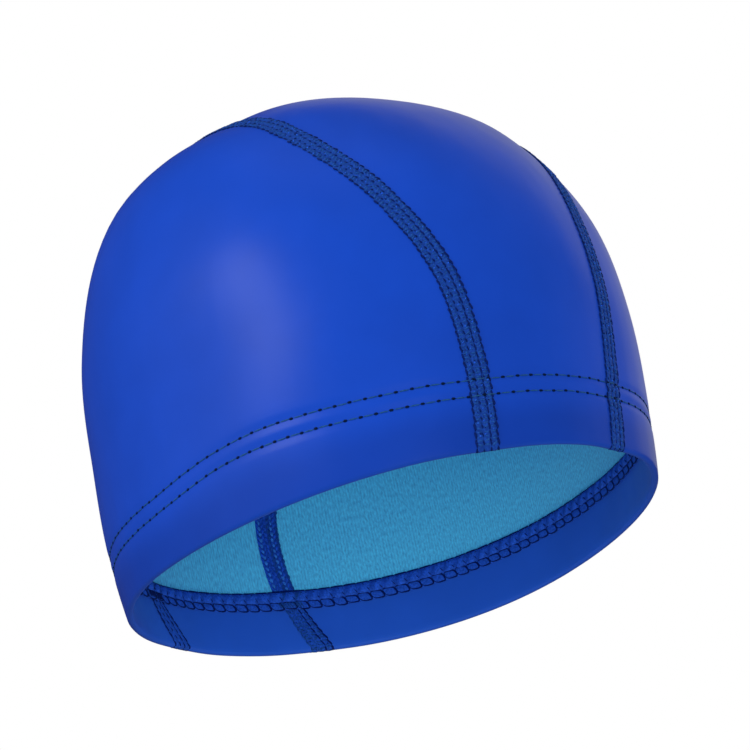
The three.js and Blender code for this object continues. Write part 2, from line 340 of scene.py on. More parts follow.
    def seam_place(self, side, way, across, proud):
        """Points beside a seam's middle line. The way runs from the hem's edge inside the forehead,
        round the fold, over the crown and round the fold again to the hem's edge inside the nape."""
        way, across, proud = np.broadcast_arrays(way, across, proud)
        track = self.tracks[side]
        length = track["way"][-1]
        at_front = way < self.turned
        at_back = way > self.turned + length
        from_end = np.minimum(way, self.seam_length(side) - way)
        by_fold = np.exp(-(((from_end - self.hem_run - self.fold_run / 2) / FOLD_PRESS_REACH) ** 2))
        proud = np.where(proud > 0, proud * (1 - FOLD_PRESS * by_fold), proud)
        short = np.where(at_front, way, self.seam_length(side) - way)
        along = self.cloth_end + short
        height = self.line_height(np.minimum(along, self.fold_radius))
        middle = len(track["way"]) // 2
        z = track["point"][:, 2]
        front_way = np.interp(height, z[:middle:4], track["way"][:middle:4])
        back_way = np.interp(height, z[:middle:-4], track["way"][:middle:-4])
        on_track = np.where(at_front, front_way, np.where(at_back, back_way, way - self.turned))
        base = np.stack([np.interp(on_track, track["way"], track["point"][:, k]) for k in range(3)], -1)
        side_way = np.stack([np.interp(on_track, track["way"], track["across"][:, k]) for k in range(3)], -1)
        beside = base + side_way * across[..., None]
        point = np.empty(way.shape + (3,))
        inside = at_front | at_back
        if inside.any():
            azimuth = np.arctan2(beside[inside, 1], beside[inside, 0])
            point[inside] = self.cloth_place(azimuth, along[inside], proud[inside])
        face = ~inside
        if face.any():
            toward = unit(beside[face])
            spot = toward * self.reach(toward)[:, None]
            azimuth = np.arctan2(spot[:, 1], spot[:, 0])
            pull = self.pull(self.pattern_height(azimuth, spot[:, 2]))
            point[face] = spot + self.normal(spot) * (proud[face] - pull)[:, None]
        return point

    def hem_azimuth(self, share):
        """The azimuth that lies a share of the way round the rim."""
        azimuth = np.linspace(-math.pi, math.pi, RIM_SAMPLES)
        ring = self.wall_point(azimuth, np.full(azimuth.shape, self.lower_row), np.zeros(azimuth.shape))
        run = run_along(ring)
        return np.interp(share, run / run[-1], azimuth), run[-1]

    def over_seams(self, azimuth, height, width):
        """From 0 to 1, how much a place of the hem lies over one of the seams."""
        zero = np.zeros(np.broadcast(azimuth, height).shape)
        point = self.wall_point(azimuth + zero, height + zero, zero)
        cover = zero
        for side in (LEFT, RIGHT):
            cover = cover + np.exp(-((self.beside_seam(point, side) / width) ** 4))
        return cover


def sizes_of(context):
    return context.scene.swim_cap_sizes


def colours_of(context):
    return context.scene.swim_cap_colours


def form_of(context):
    return CapForm(sizes_of(context))


def flat_grid(bm, columns, rows):
    """A flat grid with x and y from 0 to 1, of columns times rows faces."""
    bmesh.ops.create_grid(bm, x_segments=columns, y_segments=rows, size=0.5)
    bmesh.ops.translate(bm, verts=bm.verts, vec=(0.5, 0.5, 0))


def repeat(bm, count):
    """Repeats what the mesh holds along x, one step further each time."""
    if count > 1:
        bmesh.ops.spin(
            bm,
            geom=bm.verts[:] + bm.edges[:] + bm.faces[:],
            cent=(0, 0, 0),
            axis=(0, 0, 1),
            dvec=(1, 0, 0),
            angle=0,
            steps=count - 1,
            use_duplicate=True,
        )


def places(bm):
    return np.array([v.co for v in bm.verts], float).reshape(-1, 3)


def put(bm, points):
    for vert, point in zip(bm.verts, points):
        vert.co = point


def close_up(bm):
    """Joins what meets and turns the faces outwards."""
    bmesh.ops.remove_doubles(bm, verts=bm.verts, dist=SAME_PLACE)
    bmesh.ops.recalc_face_normals(bm, faces=bm.faces)


THREAD_SIDES = 5

# Where a stitch starts in its cell of the flat mesh, and how much of the cell it fills.
CELL_START = 0.1
CELL_FILLED = 0.8


def stitch_row(count, path, width, height, lengthwise=5, taper=3, ring_swell=None, uneven=0):
    """A row of short closed threads. The path gives each stitch's middle line: its way along, across
    and above the cloth. Width and height are its half sizes. A higher taper gives blunter ends, and a
    ring's stitches close on themselves and swell at one end. Uneven stitches differ in size."""
    bm = bmesh.new()
    flat_grid(bm, lengthwise, THREAD_SIDES)
    flat = places(bm)
    flat[:, 0] = CELL_START + CELL_FILLED * flat[:, 0]
    put(bm, flat)
    repeat(bm, count)
    flat = places(bm)
    index = np.floor(flat[:, 0])
    share = np.clip((flat[:, 0] - index - CELL_START) / CELL_FILLED, 0, 1)
    turn = 2 * math.pi * flat[:, 1]
    middle = path(index, share)
    ahead = unit(path(index, share + 0.01) - path(index, share - 0.01))
    aside = unit(np.cross((0, 0, 1), ahead))
    upward = np.cross(ahead, aside)
    if ring_swell is None:
        full = np.sqrt(np.clip(1 - np.abs(2 * share - 1) ** taper, 0, 1))
    else:
        full = 1 - ring_swell * np.cos(2 * math.pi * share)
    full = full * (1 + uneven * scatter(index, 9))
    wide = aside * (width * full * np.cos(turn))[:, None]
    tall = upward * (height * full * np.sin(turn))[:, None]
    return bm, middle + wide + tall


def arch(share):
    """From 0 up to 1 and back, over the length of a stitch."""
    return np.sin(math.pi * np.clip(share, 0, 1))


def laid(bm, points, slot_index):
    """Puts a sewn row in place on the cap and gives its faces their finish."""
    put(bm, points)
    close_up(bm)
    for face in bm.faces:
        face.material_index = slot_index
    return bm


def mark(bm, points, cloth, hem):
    """Puts the points in place, and keeps each one's place on the cloth and its share of the hem."""
    spots = bm.verts.layers.float_vector.new("place")
    shares = bm.verts.layers.float.new("hem")
    for vert, point, (u, v), share in zip(bm.verts, points, cloth, hem):
        vert.co = point
        vert[spots] = (u, v, 0)
        vert[shares] = share
    bmesh.ops.remove_doubles(bm, verts=bm.verts, dist=SAME_PLACE)


def map_cloth(bm):
    """Turns the kept places into a UV map."""
    spots = bm.verts.layers.float_vector["place"]
    uv = bm.loops.layers.uv.new("cloth")
    for face in bm.faces:
        for loop in face.loops:
            loop[uv].uv = loop.vert[spots].xy
    bm.verts.layers.float_vector.remove(spots)


def gather(parts):
    """Joins several meshes into one."""
    whole = bmesh.new()
    for part in parts:
        mesh = bpy.data.meshes.new("part")
        part.to_mesh(mesh)
        part.free()
        whole.from_mesh(mesh)
        bpy.data.meshes.remove(mesh)
    return whole


def scatter(index, salt):
    """An even scatter from -1 to 1 that is the same each time."""
    return 2 * np.modf(np.abs(np.sin(index * 12.9898 + salt * 78.233) * 43758.5453))[0] - 1


def finished(bm, name, materials):
    """The mesh as an object of the cap."""
    mesh = bpy.data.meshes.new(name)
    for face in bm.faces:
        face.smooth = True
    bm.to_mesh(mesh)
    bm.free()
    piece = bpy.data.objects.new(name, mesh)
    bpy.context.scene.collection.objects.link(piece)
    for material in materials:
        mesh.materials.append(material)
    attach(piece, "root")
    return piece


def principled(name, colour, roughness, specular=0.5):
    """A new material and its nodes, with the plain values set on the shader."""
    material = bpy.data.materials.new(name)
    material.use_nodes = True
    shader = material.node_tree.nodes["Principled BSDF"]
    shader.inputs["Base Color"].default_value = (*colour, 1)
    shader.inputs["Roughness"].default_value = roughness
    shader.inputs["Specular IOR Level"].default_value = specular
    return material, material.node_tree, shader


def add_sheen(shader, weight, colour=(1, 1, 1), roughness=0.5):
    shader.inputs["Sheen Weight"].default_value = weight
    shader.inputs["Sheen Tint"].default_value = (*colour, 1)
    shader.inputs["Sheen Roughness"].default_value = roughness


def node(tree, kind, **values):
    made = tree.nodes.new(kind)
    for key, value in values.items():
        if key in made.inputs:
            made.inputs[key].default_value = value
        else:
            setattr(made, key, value)
    return made


def object_place(tree):
    return tree.nodes.new("ShaderNodeTexCoord").outputs["Object"]


def hem_share(tree):
    return node(tree, "ShaderNodeAttribute", attribute_name="hem").outputs["Fac"]


def stretched(tree, where, scale):
    made = node(tree, "ShaderNodeMapping", Scale=scale)
    tree.links.new(where, made.inputs["Vector"])
    return made.outputs["Vector"]


def noise(tree, where, scale, detail, roughness=0.5):
    made = node(tree, "ShaderNodeTexNoise", Scale=scale, Detail=detail, Roughness=roughness)
    tree.links.new(where, made.inputs["Vector"])
    return made.outputs["Fac"]


def ramp(tree, value, *stops):
    """A colour ramp over a value. A stop is its place and its colour, and the two outer stops come first."""
    made = tree.nodes.new("ShaderNodeValToRGB")
    elements = made.color_ramp.elements
    for k, (place, colour) in enumerate(stops):
        stop = elements[k] if k < 2 else elements.new(place)
        stop.position = place
        stop.color = colour
    tree.links.new(value, made.inputs["Fac"])
    return made.outputs["Color"]


def bumped(tree, height, strength, distance, under=None):
    made = node(tree, "ShaderNodeBump", Strength=strength, Distance=distance)
    tree.links.new(height, made.inputs["Height"])
    if under:
        tree.links.new(under, made.inputs["Normal"])
    return made.outputs["Normal"]


def combined(tree, operation, first, second):
    """A sum or product of a value and another value or number."""
    made = node(tree, "ShaderNodeMath", operation=operation)
    tree.links.new(first, made.inputs[0])
    if isinstance(second, float):
        made.inputs[1].default_value = second
    else:
        tree.links.new(second, made.inputs[1])
    return made.outputs[0]


def mixed(tree, first, second):
    """One colour times another."""
    mix = tree.nodes.new("ShaderNodeMix")
    mix.data_type = "RGBA"
    mix.blend_type = "MULTIPLY"
    mix.inputs["Factor"].default_value = 1
    tree.links.new(first, mix.inputs["A"])
    tree.links.new(second, mix.inputs["B"])
    return mix.outputs["Result"]


def tint(colour, share):
    return tuple(min(c * share, 1) for c in colour) + (1,)


def grey(share):
    return tint((1, 1, 1), share)


def coated_finish(colours):
    """The smooth coated side: a soft satin with faint folds, a fine grain, a pale bloom at the edges, painted
    shade on the hem's outer face and painted light on the turned-in hem.
    """
    blue = tuple(colours.coated_face)
    material, tree, shader = principled("coated face", blue, 0.37, 0.14)
    add_sheen(shader, 0.03, colours.bloom, 0.4)
    # Painted shade and light: by the hem share, the hem's outer face is painted darker and the turned-in hem
    # lighter than the dome.
    inside, outside = tint(colours.hem_inside, 1), tint(colours.hem_outside, 1)
    cloth = ramp(tree, hem_share(tree), (0, tint(blue, 1)), (1, inside), (0.5, outside))
    where = object_place(tree)
    shade = ramp(tree, noise(tree, where, 38, 3, 0.55), (0.3, grey(0.9)), (0.7, grey(1)))
    tree.links.new(mixed(tree, cloth, shade), shader.inputs["Base Color"])
    folds = noise(tree, stretched(tree, where, (42, 42, 9)), 1, 2, 0.45)
    drape = bumped(tree, folds, 0.4, 0.0016)
    grain = noise(tree, where, 1700, 3, 0.6)
    tree.links.new(bumped(tree, grain, 0.2, 0.0001, drape), shader.inputs["Normal"])
    return material


def lining_finish(colours):
    """The knit side: fine wales along the cloth, a little uneven, and dull."""
    pale = tuple(colours.lining)
    material, tree, shader = principled("knit lining", pale, 0.85, 0.2)
    add_sheen(shader, 0.2)
    where = node(tree, "ShaderNodeUVMap", uv_map="cloth").outputs["UV"]
    fleck = noise(tree, stretched(tree, where, (1500, 620, 1)), 1, 3, 0.6)
    wales = node(tree, "ShaderNodeTexWave", Scale=330, Distortion=3.5, Detail=2)
    wales.bands_direction = "X"
    wales.inputs["Detail Scale"].default_value = 2.5
    tree.links.new(where, wales.inputs["Vector"])
    knit = combined(tree, "ADD", combined(tree, "MULTIPLY", wales.outputs["Fac"], 0.16), fleck)
    shade = ramp(tree, knit, (0.38, tint(pale, 0.74)), (0.76, tint(pale, 1.3)))
    tree.links.new(shade, shader.inputs["Base Color"])
    tree.links.new(bumped(tree, knit, 0.35, 0.0002), shader.inputs["Normal"])
    return material


def thread_finish(name, colour, painted_light_colour=None):
    """Stretch thread, with the fine unevenness of its filaments. It may change colour with the hem share,
    which paints light and shade: the seam bed lighter where turned in or inside, the cover band darker in its
    creases.
    """
    material, tree, shader = principled(name, colour, 0.6, 0.09)
    add_sheen(shader, 0.03, (0.2, 0.6, 1))
    filaments = noise(tree, object_place(tree), 1500, 2)
    shade = ramp(tree, filaments, (0.3, grey(0.55)), (0.7, grey(1)))
    # Painted light and shade: the hem share moves the colour towards the second, lighter colour.
    colour_with_painted_light_and_shade = ramp(tree, hem_share(tree), (0, tint(colour, 1.25)), (1, tint(painted_light_colour or colour, 1.25)))
    tree.links.new(mixed(tree, colour_with_painted_light_and_shade, shade), shader.inputs["Base Color"])
    tree.links.new(bumped(tree, filaments, 0.4, 0.0001), shader.inputs["Normal"])
    return material


def material_of(name, make, *args):
    """One material of each name, made when a piece first needs it."""
    return bpy.data.materials.get(name) or make(*args)


def thread(colours, name, painted_light_colour=None):
    """The thread material that one of the cap's colours names."""
    colour = tuple(getattr(colours, name.replace(" ", "_")))
    return material_of(name, thread_finish, name, colour, painted_light_colour)


def length_field(name, default, description):
    return bpy.props.FloatProperty(name=name, description=description, default=default, unit="LENGTH")


def colour_field(name, default, description):
    return bpy.props.FloatVectorProperty(
        name=name, description=description, subtype="COLOR", default=default
    )


class CapSizes(bpy.types.PropertyGroup):
    """The cap's driving sizes."""

    front_reach: length_field("Front reach", 0.097, "From the opening's centre to the forehead")
    back_reach: length_field("Back reach", 0.094, "From the opening's centre to the nape")
    side_reach: length_field("Side reach", 0.078, "From the opening's centre to each side")
    crown_height: length_field("Crown height", 0.151, "From the rim to the crown")
    cloth_thickness: length_field("Cloth thickness", 0.001, "One layer of the coated knit")
    fold_gap: length_field("Fold gap", 0.0003, "Between the two layers of the hem")
    lower_row_height: length_field("Lower row", 0.0163, "Height of the lower stitch row above the rim")
    row_spacing: length_field("Row spacing", 0.0049, "Between the two stitch rows of the hem")
    row_dip: length_field("Row dip", 0.0004, "How far a stitch row pulls the cloth in")
    row_dip_reach: length_field("Row dip reach", 0.0015, "How far from a row its pull still shows")
    hem_pitch: length_field("Hem stitch", 0.0046, "Length of one stitch of the hem")
    seam_width: length_field("Seam width", 0.0072, "Width of a flatlock seam")
    seam_pitch: length_field("Seam stitch", 0.0024, "Length of one stitch of a flatlock seam")


class CapColours(bpy.types.PropertyGroup):
    """The cap's colours, as linear values."""

    coated_face: colour_field("Coated face", (0.0042, 0.056, 0.485), "The smooth outer side")
    # Painted shade: the hem's outer face is painted darker than the dome.
    hem_outside: colour_field("Hem outside", (0.003, 0.043, 0.38), "The doubled cloth below the stitching")
    # Painted light: the turned-in hem is painted lighter and greyer, standing in for bounce light from the
    # lining and a faint sheen.
    hem_inside: colour_field("Hem inside", (0.018, 0.105, 0.6), "The turned-in cloth, painted lighter")
    bloom: colour_field("Bloom", (1.0, 0.7, 0.9), "The pale shine along the cap's edges")
    lining: colour_field("Lining", (0.082, 0.53, 0.97), "The knit inner side")
    seam_bed: colour_field("Seam bed", (0.006, 0.045, 0.3), "The cloth under a seam's threads")
    # Painted light: the seam bed is painted lighter where it is turned in or inside, like the turned-in hem.
    seam_bed_inside_painted_light: colour_field("Seam bed inside", (0.012, 0.075, 0.46), "The same, turned in or inside")
    # Partly the thread's own dark colour and partly painted shade of the grooves and gaps the thread lies in.
    needle_thread: colour_field("Needle thread", (0.001, 0.011, 0.115), "The threads that sink in")
    looper_thread: colour_field("Looper thread", (0.01, 0.068, 0.31), "The threads that cross over")
    bright_thread: colour_field("Bright thread", (0.034, 0.21, 0.72), "The palest thread of the inner braid")
    braid_thread: colour_field("Braid thread", (0.014, 0.095, 0.62), "The inner braid's other threads")
    row_thread: colour_field("Row thread", (0.015, 0.08, 0.22), "The hem's thread outside")
    # Painted shade: near-black dimples stand in for the shade inside the needle holes.
    needle_hole: colour_field("Needle hole", (0.001, 0.008, 0.04), "Where the hem's thread sinks in")
    cover_bed: colour_field("Cover bed", (0.017, 0.1, 0.6), "The band of cover stitching inside")
    # Painted shade: the cover band is painted darker in the creases between its puffs.
    cover_crease_shade: colour_field("Cover crease shade", (0.0095, 0.06, 0.41), "Between the cover band's puffs")


CLOTH_COLUMNS = 360

# A panel starts this far from its seams' middle lines, under the seams' threads.
CUT_FROM_SEAM = 0.0012
CUT_TOLERANCE = 0.0000001


def cloth_rows(form):
    """The rows of a panel's mesh, from the hem's edge to the crown, closer where the cloth bends."""
    hem = np.linspace(form.cloth_end, form.fold_end, 12)
    fold = np.linspace(form.fold_end, form.fold_radius, 9)
    face = np.linspace(form.fold_radius, form.lower_row - 0.003, 9)
    sewn = np.linspace(form.lower_row - 0.003, form.dome_start, 19)
    dome = np.linspace(form.dome_start, form.dome_start + DOME_RUN, 60)
    return np.concatenate((hem[:-1], fold[:-1], face[:-1], sewn[:-1], dome))


def cut_panel(form, start, seams):
    """A panel's cloth, cut along its seams. A seam is its side, and 1 to keep what lies beyond it."""
    bm = bmesh.new()
    rows = cloth_rows(form)
    flat_grid(bm, CLOTH_COLUMNS, len(rows) - 1)
    flat = places(bm)
    flat[:, 0] = start + flat[:, 0] * 2 * math.pi
    flat[:, 1] = np.interp(flat[:, 1] * (len(rows) - 1), np.arange(len(rows)), rows)
    for side, keep in seams:
        face = form.face_place(flat[:, 0], flat[:, 1])
        flat[:, 2] = form.beside_seam(face, side) * keep
        put(bm, flat)
        bmesh.ops.bisect_plane(
            bm,
            geom=bm.verts[:] + bm.edges[:] + bm.faces[:],
            dist=CUT_TOLERANCE,
            plane_co=(0, 0, CUT_FROM_SEAM),
            plane_no=(0, 0, 1),
            clear_inner=True,
        )
        flat = places(bm)
    return bm, flat


def make_panel(context, name, node_name, start, seams, lengthwise):
    form = form_of(context)
    colours = colours_of(context)
    bm, flat = cut_panel(form, start, seams)
    points = form.lift(form.cloth_place(flat[:, 0], flat[:, 1], np.zeros(len(flat))))
    if lengthwise:
        cloth = np.stack([points[:, 1], 0.1 * np.arctan2(points[:, 2] + 0.02, points[:, 0])], axis=1)
    else:
        cloth = np.stack([0.085 * flat[:, 0], flat[:, 1]], axis=1)
    # The hem share is painted shade and light: 0.5 below the stitch rows darkens the hem's outer face, 1
    # lightens the turned-in hem.
    painted_shade_below_row = 1 - ease(flat[:, 1], form.lower_row - 0.01, form.lower_row + 0.0015)
    inside = 1 - ease(flat[:, 1], form.fold_end, form.fold_radius)
    mark(bm, points, cloth, (painted_shade_below_row + inside) / 2)
    bmesh.ops.dissolve_degenerate(bm, edges=bm.edges, dist=SAME_PLACE / 2)
    map_cloth(bm)
    inmost = Vector((0, 0, 0.03))
    outward = sum(f.normal.dot(f.calc_center_median() - inmost) for f in bm.faces)
    if outward < 0:
        bmesh.ops.reverse_faces(bm, faces=bm.faces)
    coated = material_of("coated face", coated_finish, colours)
    lining = material_of("knit lining", lining_finish, colours)
    piece = finished(bm, name, [coated, lining])
    wall = piece.modifiers.new("cloth thickness", "SOLIDIFY")
    wall.thickness = form.wall
    wall.offset = -1
    wall.material_offset = 1
    wall.material_offset_rim = 1
    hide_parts(node_name)
    return piece


class SWIMCAP_OT_panels(bpy.types.Operator):
    """Cuts the three panels of coated knit and turns in their hems"""

    bl_idname = "swim_cap.panels"
    bl_label = "Panels"

    def execute(self, context):
        quarter = math.pi / 2
        both = [(RIGHT, -1), (LEFT, -1)]
        right = make_panel(context, "right_panel", "panel_right", quarter, [(RIGHT, 1)], False)
        middle = make_panel(context, "centre_panel", "panel_centre", quarter, both, True)
        left = make_panel(context, "left_panel", "panel_left", -quarter, [(LEFT, 1)], False)
        return {"FINISHED"}


NEEDLE_LINES = (-0.0033, -0.0011, 0.0011, 0.0033)
SEAM_STEP = 0.0009
OUTER_POINTS = 31
INNER_POINTS = 21
BED_PROUD = 0.0004
BED_PROUD_INSIDE = 0.00035
BED_DEPTH = 0.0009
BED_WIDER_INSIDE = 0.2
BED_EDGE_SINKS = 0.00025
BED_ENDS_SHORT = 0.0004
NEEDLE_GROOVE = 0.00028
NEEDLE_GROOVE_WIDTH = 0.0003


def seam_profile(across, half, proud, lines, groove):
    """How proud a seam stands at a distance from its middle line: rounded edges and sunken lines."""
    edge = np.clip(np.abs(across) / half, 0, 1)
    height = proud * (1 - edge**8) - BED_EDGE_SINKS * edge**8
    for line in lines:
        height = height - groove * np.exp(-(((across - line) / NEEDLE_GROOVE_WIDTH) ** 2))
    return height


def make_seam(context, name, node_name, side):
    """A flatlock seam's bed: one closed strip through the whole thickness of the cloth."""
    form = form_of(context)
    colours = colours_of(context)
    half = form.seam_width / 2
    outer = np.linspace(-half, half, OUTER_POINTS)
    inner = np.linspace(half, -half, INNER_POINTS)
    across_at = np.concatenate((outer, inner, outer[:1]))
    is_outer = np.repeat((True, False, True), (OUTER_POINTS, INNER_POINTS, 1))
    bm = bmesh.new()
    length = form.seam_length(side) - 2 * BED_ENDS_SHORT
    steps = int(length / SEAM_STEP)
    flat_grid(bm, len(across_at) - 1, steps)
    flat = places(bm)
    column = np.rint(flat[:, 0] * (len(across_at) - 1)).astype(int)
    across = across_at[column]
    way = BED_ENDS_SHORT + flat[:, 1] * length
    from_end = np.minimum(way, form.seam_length(side) - way)
    edge = form.turned + form.hem_top
    in_lining = ease(from_end, edge - 0.003, edge - 0.001)
    raised = seam_profile(across, half, BED_PROUD, NEEDLE_LINES, NEEDLE_GROOVE)
    under = seam_profile(across, half, BED_PROUD_INSIDE, (), 0)
    depth = BED_DEPTH * (1 - in_lining) + (form.wall + under) * in_lining
    proud = np.where(is_outer[column], raised, -depth)
    across = np.where(is_outer[column], across, across * (1 + BED_WIDER_INSIDE * in_lining))
    points = form.lift(form.seam_place(side, way, across, proud))
    # The hem share paints the seam bed lighter where it is turned in or inside: painted light.
    turned_in = np.where(is_outer[column], 1 - ease(from_end, form.hem_run, form.turned), 1)
    mark(bm, points, np.stack([across, way], axis=1), turned_in)
    bmesh.ops.holes_fill(bm, edges=[e for e in bm.edges if e.is_boundary], sides=0)
    bmesh.ops.recalc_face_normals(bm, faces=bm.faces)
    map_cloth(bm)
    bed = thread(colours, "seam bed", tuple(colours.seam_bed_inside_painted_light))
    piece = finished(bm, name, [bed])
    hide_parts(node_name)
    return piece


# The seam's threads, in the order of their material slots.
SEAM_THREADS = ("needle thread", "looper thread", "bright thread", "braid thread")
NEEDLE, LOOPER, BRIGHT, BRAID = range(len(SEAM_THREADS))

# The braid's columns inside: place across, lean, half width, how far along the pitch a stitch shows, and
# its thread.
BRAID_COLUMNS = (
    (-0.0037, 0.0003, 0.0004, 0.95, BRAID),
    (-0.0029, 0.0003, 0.0005, 0.75, BRIGHT),
    (-0.0018, -0.0004, 0.0004, 0.9, BRAID),
    (-0.0008, 0.0004, 0.0004, 0.85, BRAID),
    (0.0003, -0.0004, 0.0004, 0.9, LOOPER),
    (0.0013, 0.0003, 0.00045, 0.75, BRIGHT),
    (0.0024, -0.0003, 0.00045, 0.9, BRAID),
    (0.0035, 0.0003, 0.0004, 0.95, LOOPER),
)

# For each needle row: how far along its pitch a stitch shows, half its width, and how much shorter its
# stitches are over the crown.
NEEDLE_SHOWS = ((1.06, 0.00034, 0.2), (0.6, 0.00027, 0.5), (1.0, 0.0003, 0.5), (1.06, 0.00034, 0.2))
SEAM_END = 0.0015
LOOPER_INSET = 0.00025
FLECK_SPREAD = 0.0022
NEEDLE_HEIGHT = 0.00016
FLECK_HEIGHT = 0.00016
BRAID_HEIGHT = 0.0003

# From the nearer end of a seam: where it starts to run over the crown, and from where it fully does.
CROWN_STARTS = 0.075
CROWN_REACHED = 0.13


def sew_seam(context, name, side):
    """A flatlock seam's threads: four needle rows, loopers and flecks outside, a braid inside."""
    form = form_of(context)
    colours = colours_of(context)
    pitch = sizes_of(context).seam_pitch
    length = form.seam_length(side)
    count = int((length - 2 * SEAM_END) / pitch)
    parts = []

    def sew(number, path, width, height, slot_index, lengthwise=4, uneven=0.3):
        bm, flat = stitch_row(number, path, width, height, lengthwise, uneven=uneven)
        points = form.lift(form.seam_place(side, flat[:, 0], flat[:, 1], flat[:, 2]))
        parts.append(laid(bm, points, slot_index))

    for k, (line, (shows, width, shrink)) in enumerate(zip(NEEDLE_LINES, NEEDLE_SHOWS)):

        def needle(index, share, first=0):
            middle = SEAM_END + (first + index + 0.5) * pitch
            over_crown = ease(np.minimum(middle, length - middle), CROWN_STARTS, CROWN_REACHED)
            way = middle + shows * (1 - shrink * over_crown) * (share - 0.5) * pitch
            sway = 0.0001 + 0.00016 * over_crown
            narrower = 1 - 0.07 * over_crown
            across = line * narrower + sway * scatter(index, k) + 0.00013 * np.sin(2 * math.pi * share)
            return stack(way, across, 0.00018 + 0.0001 * arch(share))

        dull = int(form.turned / pitch) if side == LEFT and k < 2 else 0
        sew(count - dull, needle, width, NEEDLE_HEIGHT, NEEDLE, 5, 0.15)
        if dull:
            sew(dull, partial(needle, first=count - dull), width, NEEDLE_HEIGHT, LOOPER, 5, 0.15)
    looper_start = form.turned if side == RIGHT else SEAM_END
    looper_count = int((length - 2 * looper_start) / pitch)
    for k in range(len(NEEDLE_LINES) - 1):
        low, high = NEEDLE_LINES[k] + LOOPER_INSET, NEEDLE_LINES[k + 1] - LOOPER_INSET
        for half in (0, 1):

            def looper(index, share):
                slant = 0.16 + 0.34 * scatter(index, k + 3 * half)
                shift = 0.1 * scatter(index, k + 5 + half)
                step = index + 0.5 * half + 0.25 + slant * (share - 0.5) + shift
                rise = 0.0003 + (0.00013 + 0.00005 * scatter(index, k)) * arch(share)
                return stack(looper_start + step * pitch, low + (high - low) * share, rise)

            sew(looper_count, looper, 0.00023, 0.00015, LOOPER, uneven=0.5)

    def fleck(index, share, start, run, salt, sway, slant, rise):
        way = looper_start + (0.5 * index + start + 0.3 * scatter(index, salt) + run * share) * pitch
        across = FLECK_SPREAD * (np.mod(index, 3) - 1) + sway * scatter(index, salt + 1)
        return stack(way, across + slant * (share - 0.5), rise + 0 * share)

    pale = partial(fleck, start=1, run=0.2, salt=21, sway=0.0005, slant=0.0006, rise=0.00042)
    dark = partial(fleck, start=1.3, run=0.25, salt=31, sway=0.0006, slant=-0.0005, rise=0.0004)
    sew(2 * looper_count - 4, pale, 0.00019, FLECK_HEIGHT, BRAID, uneven=0.5)
    sew(2 * looper_count - 4, dark, 0.00017, FLECK_HEIGHT, NEEDLE, uneven=0.5)
    inset = form.turned + form.hem_top - 0.001
    inner_count = int((length - 2 * inset) / pitch * 1.15)
    inner_pitch = (length - 2 * inset) / inner_count
    for k, (line, lean, width, shows, finish) in enumerate(BRAID_COLUMNS):

        def braid(index, share):
            way = inset + (index + 0.5 + 0.5 * (k % 2) + shows * (share - 0.5)) * inner_pitch
            across = line + lean * (2 * share - 1) + 0.00015 * scatter(index, k + 11)
            return stack(way, across, -form.wall - 0.0003 - 0.00035 * arch(share))

        sew(inner_count, braid, width, BRAID_HEIGHT, finish)
    piece = finished(gather(parts), name, [thread(colours, each) for each in SEAM_THREADS])
    return piece


class SWIMCAP_OT_seams(bpy.types.Operator):
    """Makes the two flatlock seams: a bed through the cloth's thickness, and the threads on it"""

    bl_idname = "swim_cap.seams"
    bl_label = "Seams"

    def execute(self, context):
        make_seam(context, "right_seam", "seam_right", RIGHT)
        make_seam(context, "left_seam", "seam_left", LEFT)
        sew_seam(context, "right_seam_threads", RIGHT)
        sew_seam(context, "left_seam_threads", LEFT)
        return {"FINISHED"}


def hem_stitches(context, form):
    """The rim's length and how many of the hem's stitches go round it."""
    _, rim = form.hem_azimuth(np.zeros(1))
    return rim, round(rim / sizes_of(context).hem_pitch)


def hem_outside(form, flat):
    """Places a flat row on the hem's outer face. Its way is a share of the rim."""
    azimuth, _ = form.hem_azimuth(np.mod(flat[:, 0], 1))
    proud = flat[:, 2] + OVER_SEAM_RISE * form.over_seams(azimuth, flat[:, 1], OVER_SEAM_OUTSIDE)
    return form.lift(form.cloth_place(azimuth, flat[:, 1], proud))


def hem_inside(form, flat):
    """Places a flat row on the hem's inner face. Its way is a share of the rim."""
    azimuth, _ = form.hem_azimuth(np.mod(flat[:, 0], 1))
    proud = flat[:, 2] + OVER_SEAM_RISE * form.over_seams(azimuth, flat[:, 1], OVER_SEAM_INSIDE)
    return form.lift(form.wall_point(azimuth, flat[:, 1], form.hem_depth + proud))


class SWIMCAP_OT_hem_rows(bpy.types.Operator):
    """Sews the two rows of stitches that show on the hem's outer face"""

    bl_idname = "swim_cap.hem_rows"
    bl_label = "Hem rows"

    def execute(self, context):
        form = form_of(context)
        colours = colours_of(context)
        rim, count = hem_stitches(context, form)
        parts = []

        def sew(path, width, height, lengthwise, slot_index):
            bm, flat = stitch_row(count, path, width, height, lengthwise)
            flat[:, 0] /= rim
            parts.append(laid(bm, hem_outside(form, flat), slot_index))

        for k, line in enumerate((form.lower_row, form.upper_row)):

            def stitch(index, share):
                way = (index + 0.16 + 0.68 * share + 0.5 * k) / count
                height = line + 0.00008 * scatter(index, k)
                return stack(way * rim, height, 0.00004 + 0.00012 * arch(share))

            # A near-black dimple between the stitches: painted shade of the needle hole.
            def hole(index, share):
                way = (index - 0.16 + 0.32 * share + 0.5 * k + 0.02 * scatter(index, k + 7)) / count
                height = line + 0.00008 * scatter(index, k)
                return stack(way * rim, height, 0.00012 + 0 * share)

            sew(stitch, 0.0002, 0.00014, 8, 0)
            sew(hole, 0.0004, 0.00018, 4, 1)
        finishes = [thread(colours, "row thread"), thread(colours, "needle hole")]
        piece = finished(gather(parts), "hem_rows", finishes)
        return {"FINISHED"}


